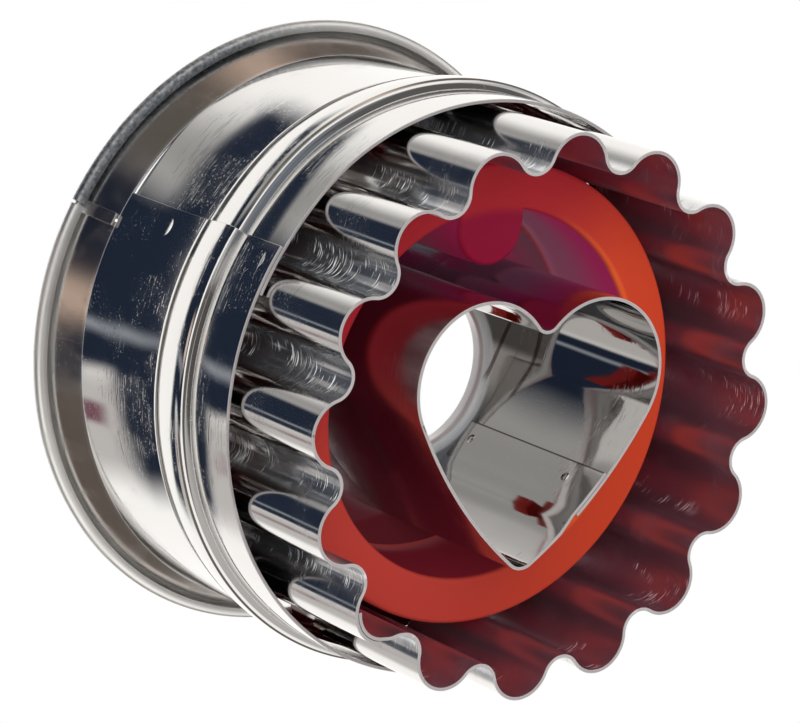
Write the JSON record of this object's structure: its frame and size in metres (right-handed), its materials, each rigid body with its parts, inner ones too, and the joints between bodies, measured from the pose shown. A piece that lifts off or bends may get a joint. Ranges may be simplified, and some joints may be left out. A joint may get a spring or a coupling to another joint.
{
  "type": "linzer cookie cutter",
  "caption": "Round fluted tinplate cookie cutter with a heart cutter inside, a rolled grip rim and a sprung red plastic ejector.",
  "frame": {"origin": "on the axis of the fluted ring, in the plane of the two cutting edges", "axes": "+Z along the axis from the cutting edges to the rolled grip rim, +Y from the axis to the cleft of the heart"},
  "size_m": [0.0572, 0.0572, 0.0387],
  "materials": {
    "tinplate": "bright tinplate, lightly scratched",
    "red_plastic": "glossy, translucent red",
    "spring_wire": "drawn spring wire"
  },
  "bodies": {
    "housing": {"casing": "tinplate", "fluted_cutter": "tinplate", "heart_cutter": "tinplate", "bridge": "tinplate", "return_spring": "spring_wire"},
    "ejector": {"ejector": "red_plastic", "push_ring": "red_plastic"}
  },
  "joints": [
    {"name": "eject_slide", "type": "slide", "parent": "housing", "child": "ejector", "axis": [0, 0, -1], "range_m": [0, 0.0091], "stiffness_N_per_m": 60, "springref_m": -0.004, "deforming": ["return_spring"]}
  ]
}
